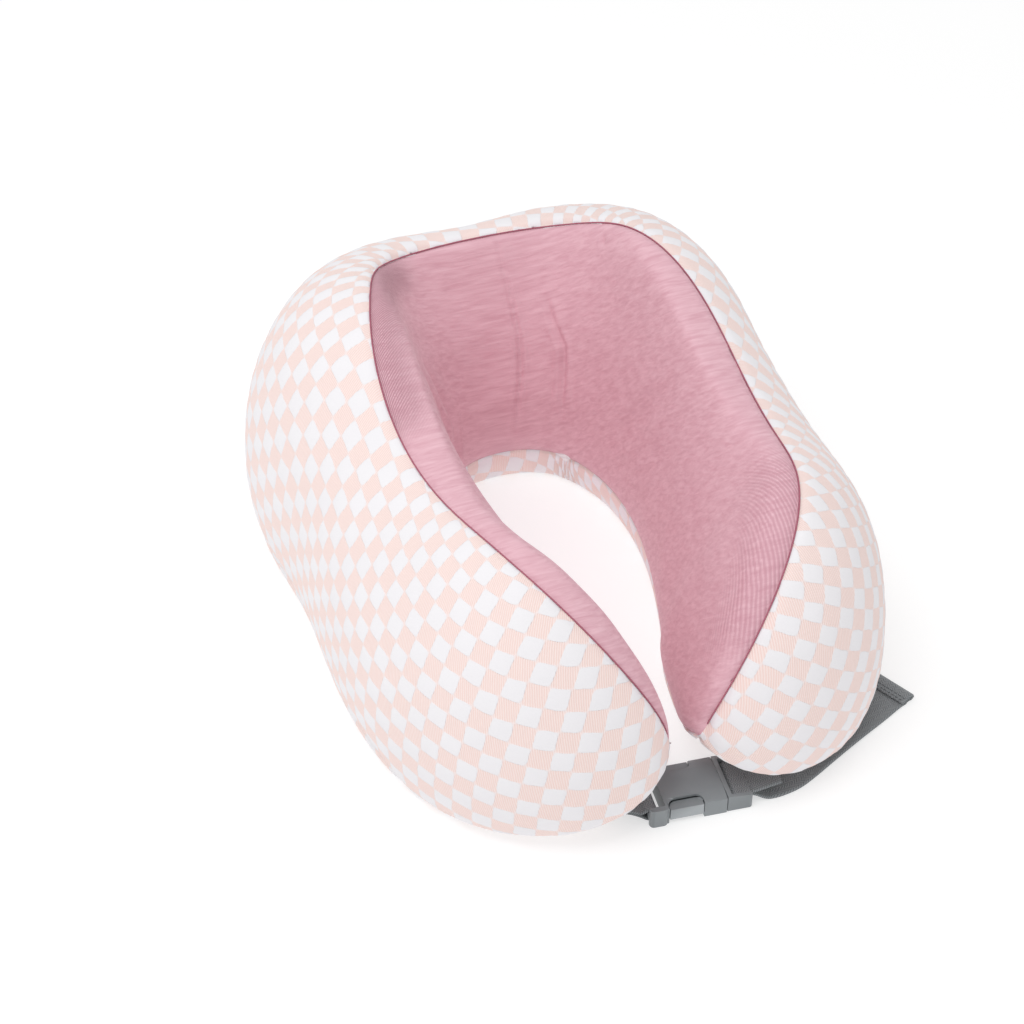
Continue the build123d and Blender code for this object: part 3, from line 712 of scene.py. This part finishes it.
tape_selvedge = 0.25 * MM
for name in ("upper", "lower"):
    low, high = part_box("zipper_tape_" + name)
    xs = np.linspace(low.x, high.x, 93)
    zs = np.linspace(low.z, high.z, 13)
    inner_edge = low.z if name == "upper" else high.z
    cord = tape_selvedge * np.exp(-((zs - inner_edge) / (0.8 * MM)) ** 2)
    outer_edge = high.z if name == "upper" else low.z
    cord = cord + 0.5 * tape_selvedge * np.exp(-((zs - outer_edge) / (0.6 * MM)) ** 2)
    grid_x, grid_z = np.meshgrid(xs, zs, indexing="ij")
    outside_y = np.broadcast_to(high.y + cord - tape_selvedge, grid_x.shape)
    front = np.stack([grid_x, outside_y, grid_z], axis=-1)
    behind = np.stack([grid_x, np.full(grid_x.shape, low.y), grid_z], axis=-1)
    size = grid_x.size
    cells = np.arange(size).reshape(grid_x.shape)
    quads = quads_of(cells)
    loop = np.concatenate([cells[0], cells[1:, -1], cells[-1, -2::-1], cells[-2::-1, 0]])
    rim = quads_of(np.stack([loop, loop + size]))
    points = np.vstack([front.reshape(-1, 3), behind.reshape(-1, 3)])
    faces = quads.tolist() + (quads[:, ::-1] + size).tolist() + rim.tolist()
    solid("zipper_tape_weave_" + name, [(points, faces)], tape_cloth, "pillow",
          ["zipper_tape_" + name])

chain_low, chain_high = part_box("zipper_coil_upper")
chain_start, chain_end = chain_low.x, chain_high.x
coil_middle = (chain_low.y + chain_high.y) / 2
turns = int((chain_end - chain_start) / coil_pitch)
for name, side, offset in (("upper", 1, 0.0), ("lower", -1, 0.5)):
    t = np.linspace(0, turns - 1, (turns - 1) * 14 + 1)
    angle = 2 * math.pi * t
    path = np.column_stack([chain_start + coil_pitch * (t + 0.5 + offset * 0.9),
                            coil_middle + coil_depth * np.sin(angle),
                            zip_height + side * (coil_apart + coil_reach * np.cos(angle))])
    solid("zipper_coil_wire_" + name, [tube(path, wire, 7)], nylon, "pillow",
          ["zipper_coil_" + name])


def dashes(line, up, stitch, gap, radius, lift):
    """A row of stitches along a line of points: short rounded dashes which dip in at both ends."""
    line, up = np.asarray(line), np.asarray(up)
    run_of = np.concatenate([[0], np.cumsum(np.linalg.norm(np.diff(line, axis=0), axis=1))])
    sunk_share = 0.35
    parts = []
    for start in np.arange(gap, run_of[-1] - stitch, stitch + gap):
        where_on = start + np.linspace(0, stitch, 7)
        points = np.column_stack([np.interp(where_on, run_of, line[:, k]) for k in range(3)])
        ups = np.column_stack([np.interp(where_on, run_of, up[:, k]) for k in range(3)])
        arch = np.sin(np.linspace(0, math.pi, 7))[:, None]
        parts.append(tube(points + ups * (lift * (arch - sunk_share)), radius, 6))
    return parts


stitch_rows = []
for name, side in (("upper", 1), ("lower", -1)):
    low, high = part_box("zipper_tape_" + name)
    edge = (high.z if side > 0 else low.z) - side * 1.3 * MM
    line = [(x, high.y - tape_selvedge, edge) for x in np.linspace(low.x, high.x, 93)]
    stitch_rows += dashes(line, [(0, 1, 0)] * 93, 2.2 * MM, 0.6 * MM, 0.16 * MM, 0.14 * MM)
solid("zipper_topstitching", stitch_rows, thread, "pillow")

# Zinc alloy, die-cast, then painted white: satin, with worn nickel showing along its edges.
zinc = new_material("painted_zinc_alloy")
place = add(zinc, "TexCoord").outputs["Object"]
edges = add(zinc, "NewGeometry").outputs["Pointiness"]
worn = add(zinc, "MapRange", {"Value": edges, "From Min": 0.52, "From Max": 0.6})
orange_peel = speckle(zinc, place, 1.2 * MM)
tone = mix(zinc, worn.outputs[0], "#ECE4E6", "#C9C6C4")
metal = add(zinc, "MapRange", {"Value": worn.outputs[0], "To Max": 0.8})
gloss = add(zinc, "MapRange", {"Value": orange_peel.outputs["Fac"], "To Min": 0.26, "To Max": 0.4})
bumps = bump(zinc, orange_peel.outputs["Fac"], 0.2, 0.1 * MM)
surface(zinc, Base_Color=tone.outputs[0], Metallic=metal.outputs[0], Roughness=gloss.outputs[0],
        Normal=bumps.outputs[0])


def finish_node(name, material, round_edge):
    """A moulded or cast piece keeps its CAD shape, with rounded edges, and gets its material."""
    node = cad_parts[name]
    for slot_of in node.material_slots:
        slot_of.material = material
    weld = node.modifiers.new("weld", "WELD")
    weld.merge_threshold = 0.01 * MM
    bevel = node.modifiers.new("rounded_edges", "BEVEL")
    bevel.width, bevel.segments = round_edge, 3
    bevel.limit_method, bevel.angle_limit = "ANGLE", math.radians(32)
    node.modifiers.new("even_shading", "WEIGHTED_NORMAL").keep_sharp = False


for name in ("zipper_slider", "zipper_pull_tab", "zipper_bottom_stop", "zipper_top_stops"):
    finish_node(name, zinc, 0.15 * MM)


# ---- The webbing --------------------------------------------------------------------------------
# Polypropylene webbing, 20 mm wide and 1 mm thick. A doubled piece sewn under the left arm loops
# round the bar of the female half. On the right it threads the two bars of the male half, and its
# long free end, folded and sewn to a hem, lies on the ground for pulling tight.
webbing_width, webbing_thickness = 20 * MM, 1.0 * MM
buckle_middle, buckle_turn = Vector((5, -149, 0)) * MM, math.radians(-6)

# Grey polypropylene yarn: slightly shiny, in rows of small slanting stitches 1.6 mm wide.
yarn = new_material("polypropylene_webbing")
cloth = add(yarn, "Attribute", attribute_name="cloth")
slants = []
for angle in (38, -38):
    leaning = add(yarn, "VectorRotate", {"Vector": cloth.outputs["Vector"],
                                         "Angle": math.radians(angle)}, rotation_type="Z_AXIS")
    slants.append(add(yarn, "TexWave", {"Vector": leaning.outputs[0], "Scale": 0.32 / (0.85 * MM),
                                        "Distortion": 0.3}, bands_direction="X").outputs["Fac"])
columns_of = add(yarn, "TexWave", {"Vector": cloth.outputs["Vector"], "Scale": 0.32 / (3.2 * MM)},
                 bands_direction="Y", wave_profile="SIN")
pick = add(yarn, "MapRange", {"Value": columns_of.outputs["Fac"], "From Min": 0.4, "From Max": 0.6})
chevron = add(yarn, "MixRGB", {"Fac": pick.outputs[0], "Color1": slants[0], "Color2": slants[1]})
tone = mix(yarn, chevron.outputs[0], "#6E7275", "#979C9F")
stitch_relief = bump(yarn, chevron.outputs[0], 0.7, 0.3 * MM)
surface(yarn, Base_Color=tone.outputs[0], Roughness=0.55, Sheen_Weight=0.1,
        Normal=stitch_relief.outputs[0])


def smooth_path(points, step):
    """Points close together on a soft curve through the given ones."""
    points = np.asarray(points, float)
    moves = np.linalg.norm(np.diff(points[:, :3], axis=0), axis=1)
    lengths = np.concatenate([[0], np.cumsum(moves)])
    start = (points[1] - points[0]) / lengths[1]
    end = (points[-1] - points[-2]) / (lengths[-1] - lengths[-2])
    fine = np.linspace(0, lengths[-1], round(lengths[-1] / step) + 1)
    return smooth_through(lengths, points, start, end)(fine)


def webbing(name, path, body, replaced=(), step=0.6 * MM):
    """A strip of webbing along a path given in the buckle's own place: x, z and heading."""
    path = smooth_path(path, step)
    ahead = np.gradient(path[:, :3], axis=0)
    ahead /= np.linalg.norm(ahead, axis=1, keepdims=True)
    heading = path[:, 3] if path.shape[1] > 3 else np.zeros(len(path))
    width = np.column_stack([-np.sin(heading), np.cos(heading), np.zeros(len(path))])
    up = np.cross(ahead, width)
    up /= np.linalg.norm(up, axis=1, keepdims=True)
    # its outline: flat faces, and round selvedges a little thicker than the middle
    across = np.linspace(-1, 1, 25)
    swell = 0.5 * webbing_thickness * (0.88 + 0.12 * ease(abs(across), 0.8, 0.95))
    swell = swell * np.sqrt(np.clip(1 - ease(abs(across), 0.955, 1.0) ** 2, 0, 1))
    side = np.concatenate([across, across[-2:0:-1]]) * webbing_width / 2
    high = np.concatenate([swell, -swell[-2:0:-1]])
    points = (path[:, None, :3] + width[:, None, :] * side[None, :, None]
              + up[:, None, :] * high[None, :, None])
    flat_points, faces = capped(points)
    turn = np.array(Matrix.Translation(buckle_middle) @ Matrix.Rotation(buckle_turn, 4, "Z"))
    flat_points = flat_points @ turn[:3, :3].T + turn[:3, 3]
    piece = solid(name, [(flat_points, faces)], yarn, body, replaced)
    lengths = np.concatenate([[0], np.cumsum(np.linalg.norm(np.diff(path[:, :3], axis=0), axis=1))])
    map_of = np.zeros(points.shape)
    map_of[..., 0] = lengths[:, None]
    map_of[..., 1] = side[None, :]
    layer = piece.data.attributes.new("cloth", "FLOAT_VECTOR", "POINT")
    layer.data.foreach_set("vector", map_of.astype(np.float32).ravel())
    return piece


def at_buckle(x, y=0.0, z=0.0):
    return buckle_middle + Matrix.Rotation(buckle_turn, 3, "Z") @ Vector((x, y, z))


# the left strap: from its bar tack round the bar of the female half, and back to the tack
bar_x, bar_low, bar_high = (-22 * MM, -19.4 * MM), 2.4 * MM, 6.0 * MM
half_ply = webbing_thickness / 2
tack_x = -35 * MM
tack_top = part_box("strap_left")[1].z - 0.6 * MM
clear = half_ply + 0.25 * MM
loop = [(tack_x, tack_top - half_ply), (-29 * MM, between(tack_top, 4.7 * MM, 0.45) - half_ply),
        (-24 * MM, 5.6 * MM), (bar_x[0], bar_high + clear), (-20.6 * MM,
                                                             bar_high + clear + 0.1 * MM),
        (bar_x[1] + clear, bar_high + 0.1 * MM), (bar_x[1] + clear + 0.1 * MM, 4.2 * MM),
        (bar_x[1] + clear, bar_low - 0.1 * MM), (-20.6 * MM, bar_low - clear - 0.1 * MM),
        (bar_x[0], bar_low - clear), (-24 * MM, 2.9 * MM),
        (-29 * MM, between(tack_top, 4.7 * MM, 0.45) - 3.2 * half_ply), (tack_x,
                                                                         tack_top - 3.1 * half_ply)]
strap_left = webbing("webbing_loop_left", [(x, 0, z) for x, z in loop], None, ["strap_left"],
                     0.5 * MM)
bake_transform(strap_left)

# the right strap, from the male half up to its bar tack
strap_end = 35 * MM
right_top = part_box("strap_right")[1].z - 0.9 * MM
strap_start_z = 6.05 * MM
right = [(22.25 * MM, 0, strap_start_z), (26 * MM, 0, between(strap_start_z, right_top, 0.27)),
         (30 * MM, 0, between(strap_start_z, right_top, 0.6)), (strap_end, 0, right_top)]
strap_right = webbing("webbing_right", right, None, ["strap_right"])
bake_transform(strap_right)

# the adjusting end: round the two bars, down to the ground, and off in a slow bend to its hem
over, under = 4.925 * MM, 1.15 * MM
slots = (14.2 * MM, 18.8 * MM)
landing, bend_radius, bend_turn = 30 * MM, 28 * MM, math.radians(31)
ground = half_ply + 0.02 * MM
tail = [(22.2 * MM, 0, strap_start_z, 0), (17 * MM, 0, strap_start_z, 0),
        (14.9 * MM, 0, 5.8 * MM, 0),
        (slots[0], 0, 4.4 * MM, 0), (slots[0], 0, 2.4 * MM, 0), (15 * MM, 0, 1.3 * MM,
                                                                 0), (16.4 * MM, 0, under, 0),
        (18 * MM, 0, 1.3 * MM, 0), (slots[1], 0, 2.6 * MM, 0), (19.2 * MM, 0, 4.4 * MM, 0),
        (20.6 * MM, 0, over + 0.1 * MM, 0), (22.4 * MM, 0, over - 0.1 * MM, 0), (26 * MM, 0,
                                                                                 2.6 * MM, 0),
        (29 * MM, 0, 0.9 * MM, 0), (landing + 2 * MM, 0, ground, 0)]
for share in (0.35, 0.7, 1.0):
    turn = bend_turn * share
    tail.append((landing + bend_radius * math.sin(turn), bend_radius * (1 - math.cos(turn)),
                 ground, turn))
corner = tail[-1]
# how far along the straight part, and how high: out along the ground, then folded back on itself
for run_on, lift in ((12, 0.15), (26, 0.5), (40, 0.35), (54, 0.1), (62, 0.0), (69.3, 0.0),
                     (69.9, 0.55), (69.3, 1.1), (66, 1.1), (62, 1.08)):
    tail.append((corner[0] + run_on * MM * math.cos(bend_turn),
                 corner[1] + run_on * MM * math.sin(bend_turn), ground + lift * MM, bend_turn))
webbing("webbing_adjusting_end", tail, "male_half", ["strap_tail"])

# The bar tacks and the hem are close zigzag stitches in grey polyester thread.
grey_thread = sewing_thread("grey_polyester_thread", "#4E5255", "#7B8083")

for name in ("left", "right"):
    low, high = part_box("bar_tack_" + name)
    middle = (low + high) / 2
    flat_half = 8 * MM
    zigzag = []
    for i in range(81):
        y = between(-flat_half, flat_half, i / 80)
        x = 1.1 * MM * (1 if i % 2 else -1)
        offset = Matrix.Rotation(buckle_turn, 3, "Z") @ Vector((x, y, 0))
        zigzag.append(Vector((middle.x, middle.y, middle.z)) + offset)
    solid("bar_tack_stitches_" + name, [tube(zigzag, 0.2 * MM, 6)], grey_thread, "pillow",
          ["bar_tack_" + name])

hem_rows = []
for run_on in (63.2, 65.0):
    along_y = np.linspace(-9 * MM, 9 * MM, 40)
    at = (corner[0] + run_on * MM * math.cos(bend_turn),
          corner[1] + run_on * MM * math.sin(bend_turn))
    line = [at_buckle(at[0] - y * math.sin(bend_turn), at[1] + y * math.cos(bend_turn),
                      ground + 1.55 * MM)
            for y in along_y]
    hem_rows += dashes(line, [(0, 0, 1)] * 40, 1.6 * MM, 0.5 * MM, 0.15 * MM, 0.2 * MM)
solid("hem_stitches", hem_rows, grey_thread, "male_half")


# ---- The side release buckle --------------------------------------------------------------------
# Two halves moulded in grey acetal. The male half's two prongs spring out into arched windows in
# the sides of the female half, and pinching them together lets it go.

# Acetal: opaque grey, satin from a finely sparked mould (grain about 0.25 mm), with a painted
# highlight: paler along its edges.
acetal = new_material("moulded_acetal")
place = add(acetal, "TexCoord").outputs["Object"]
grain = speckle(acetal, place, 0.25 * MM)
flow = speckle(acetal, place, 9 * MM, 3)
edges = add(acetal, "NewGeometry").outputs["Pointiness"]
# painted highlight: the sharpest edges are mixed towards a paler grey, as if they caught the light
painted_edge_highlight = add(acetal, "MapRange", {"Value": edges, "From Min": 0.5, "From Max": 0.62})
body_tone = mix(acetal, flow.outputs["Fac"], "#73787B", "#7E8386")
tone = add(acetal, "MixRGB", {"Fac": painted_edge_highlight.outputs[0], "Color1": body_tone.outputs[0],
                              "Color2": colour("#A9AEB1")})
gloss = add(acetal, "MapRange", {"Value": grain.outputs["Fac"], "To Min": 0.34, "To Max": 0.5})
spark = bump(acetal, grain.outputs["Fac"], 0.15, 0.05 * MM)
surface(acetal, Base_Color=tone.outputs[0], Roughness=gloss.outputs[0], IOR=1.48,
        Normal=spark.outputs[0])
for name in ("buckle_female", "buckle_male", "buckle_prong_front", "buckle_prong_rear"):
    finish_node(name, acetal, 0.45 * MM)


# ---- The floor, the lights and the camera -------------------------------------------------------
floor_mesh = bpy.data.meshes.new("floor")
half = 3.0
floor_mesh.from_pydata([(-half, -half, 0), (half, -half, 0), (half, half, 0), (-half, half, 0)], [],
                       [(0, 1, 2, 3)])
floor = bpy.data.objects.new("floor", floor_mesh)
bpy.context.scene.collection.objects.link(floor)
paper = new_material("white_paper")
surface(paper, Base_Color=(0.5, 0.5, 0.5, 1), Roughness=0.95, Specular_IOR_Level=0.1,
        Emission_Color=(1, 1, 1, 1), Emission_Strength=0.55)
floor_mesh.materials.append(paper)

world = bpy.data.worlds.new("white_room")
bpy.context.scene.world = world
world.use_nodes = True
sky = world.node_tree.nodes["Background"].inputs
sky["Color"].default_value, sky["Strength"].default_value = (1, 1, 1, 1), 0.7


key_light = bpy.data.lights.new("key_softbox", "AREA")
key_light.shape, key_light.size, key_light.energy = "DISK", 0.9, 8
key_place, key_aim = Vector((-0.5, -0.25, 1.4)), Vector((0, 0, 0.05))
key_lamp = bpy.data.objects.new("key_softbox", key_light)
key_lamp.location = key_place
key_lamp.rotation_euler = (key_aim - key_place).to_track_quat("-Z", "Y").to_euler()
bpy.context.scene.collection.objects.link(key_lamp)

camera_azimuth, camera_elevation, camera_distance = math.radians(-20.2), math.radians(40), 1.054
target = Vector((-20.5, -3.2, 45)) * MM
back = Vector((math.sin(camera_azimuth) * math.cos(camera_elevation),
               -math.cos(camera_azimuth) * math.cos(camera_elevation), math.sin(camera_elevation)))
camera = bpy.data.objects.new("camera", bpy.data.cameras.new("camera"))
bpy.context.scene.collection.objects.link(camera)
camera.location = target + back * camera_distance
camera.rotation_euler = back.to_track_quat("Z", "Y").to_euler()
camera.data.lens, camera.data.sensor_width = 84.15, 36
bpy.context.scene.camera = camera
bpy.context.scene.view_settings.view_transform = "Standard"
